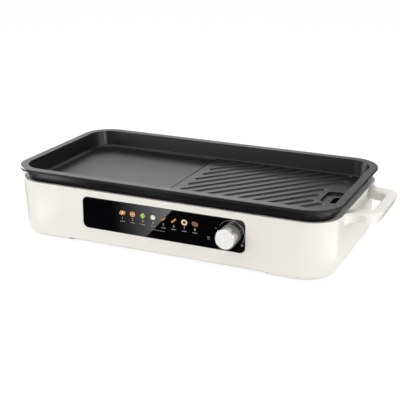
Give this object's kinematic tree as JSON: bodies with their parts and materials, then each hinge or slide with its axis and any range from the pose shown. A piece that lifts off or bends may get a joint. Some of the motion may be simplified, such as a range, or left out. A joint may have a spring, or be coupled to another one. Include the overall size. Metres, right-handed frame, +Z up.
{
  "type": "electric grill pan",
  "caption": "Long countertop grill: a lift-off pan, part flat and part ribbed, over a tubular heater in a moulded base with loop handles, a front panel and a knob.",
  "frame": {"origin": "centre of the bounding box, at the feet", "axes": "+X along the pan towards the drain, -Y towards the control panel, +Z up"},
  "size_m": [0.5722, 0.2752, 0.103],
  "materials": {
    "cream_plastic": "satin cream moulding",
    "coated_pan": "cast, with a dark satin non-stick coat",
    "sheet_steel": "pressed sheet",
    "heater_tube": "dark oxide sheath",
    "screw_steel": "zinc plated",
    "knob_chrome": "bright",
    "knob_face": "brushed, pale",
    "black_lens": "high gloss black",
    "black_plastic": "matt black",
    "grey_plastic": "matt grey",
    "foot_rubber": "matt",
    "circuit_board": "green solder mask",
    "ceramic": "unglazed",
    "brass": "plated contact",
    "red_wire": "silicone sleeve",
    "blue_wire": "silicone sleeve"
  },
  "bodies": {
    "base": {"housing_shell": "cream_plastic", "left_handle": "cream_plastic", "right_handle": "cream_plastic", "base_cover": "grey_plastic", "rubber_foot_1": "foot_rubber", "rubber_foot_2": "foot_rubber", "rubber_foot_3": "foot_rubber", "rubber_foot_4": "foot_rubber", "base_screw_1": "screw_steel", "base_screw_2": "screw_steel", "base_screw_3": "screw_steel", "base_screw_4": "screw_steel", "base_screw_5": "screw_steel", "base_screw_6": "screw_steel", "handle_screw_1": "screw_steel", "handle_screw_2": "screw_steel", "handle_screw_3": "screw_steel", "handle_screw_4": "screw_steel", "heat_reflector": "sheet_steel", "heating_element": "heater_tube", "element_bead_front": "ceramic", "element_bead_back": "ceramic", "element_bracket_1": "sheet_steel", "element_bracket_2": "sheet_steel", "element_bracket_3": "sheet_steel", "probe_holder": "ceramic", "probe_spring": "screw_steel", "thermal_cutout": "ceramic", "control_panel": "black_lens", "panel_backing": "black_plastic", "control_board": "circuit_board", "rotary_control": "grey_plastic", "power_board": "circuit_board", "relay": "black_plastic", "transformer": "grey_plastic", "board_screw_1": "screw_steel", "board_screw_2": "screw_steel", "board_screw_3": "screw_steel", "board_screw_4": "screw_steel", "mains_inlet": "black_plastic", "inlet_pin_live": "brass", "inlet_pin_neutral": "brass", "inlet_pin_earth": "brass", "live_wire": "red_wire", "neutral_wire": "blue_wire", "element_wire_front": "red_wire", "element_wire_back": "blue_wire"},
    "pan": {"grill_pan": "coated_pan"},
    "cup": {"grease_cup": "sheet_steel"},
    "knob": {"knob_body": "knob_chrome", "knob_cap": "knob_face", "control_shaft": "screw_steel"},
    "probe": {"probe_plunger": "sheet_steel"}
  },
  "joints": [
    {"name": "knob_turn", "type": "hinge", "parent": "base", "child": "knob", "pos_m": [0.104, -0.1162, 0.0525], "axis": [0, -1, 0], "range_deg": [-130, 80]},
    {"name": "pan_lift", "type": "slide", "parent": "base", "child": "pan", "axis": [0, 0, 1], "range_m": [0, 0.08]},
    {"name": "cup_lift", "type": "slide", "parent": "base", "child": "cup", "axis": [0, 0, 1], "range_m": [0, 0.04]},
    {"name": "probe_press", "type": "slide", "parent": "base", "child": "probe", "axis": [0, 0, 1], "range_m": [-0.003, 0], "stiffness_N_per_m": 200, "springref_m": 0.004, "deforming": ["probe_spring"]}
  ],
  "couplings": [
    {"joint": "cup_lift", "follows": "pan_lift", "ratio": 0.5}
  ]
}
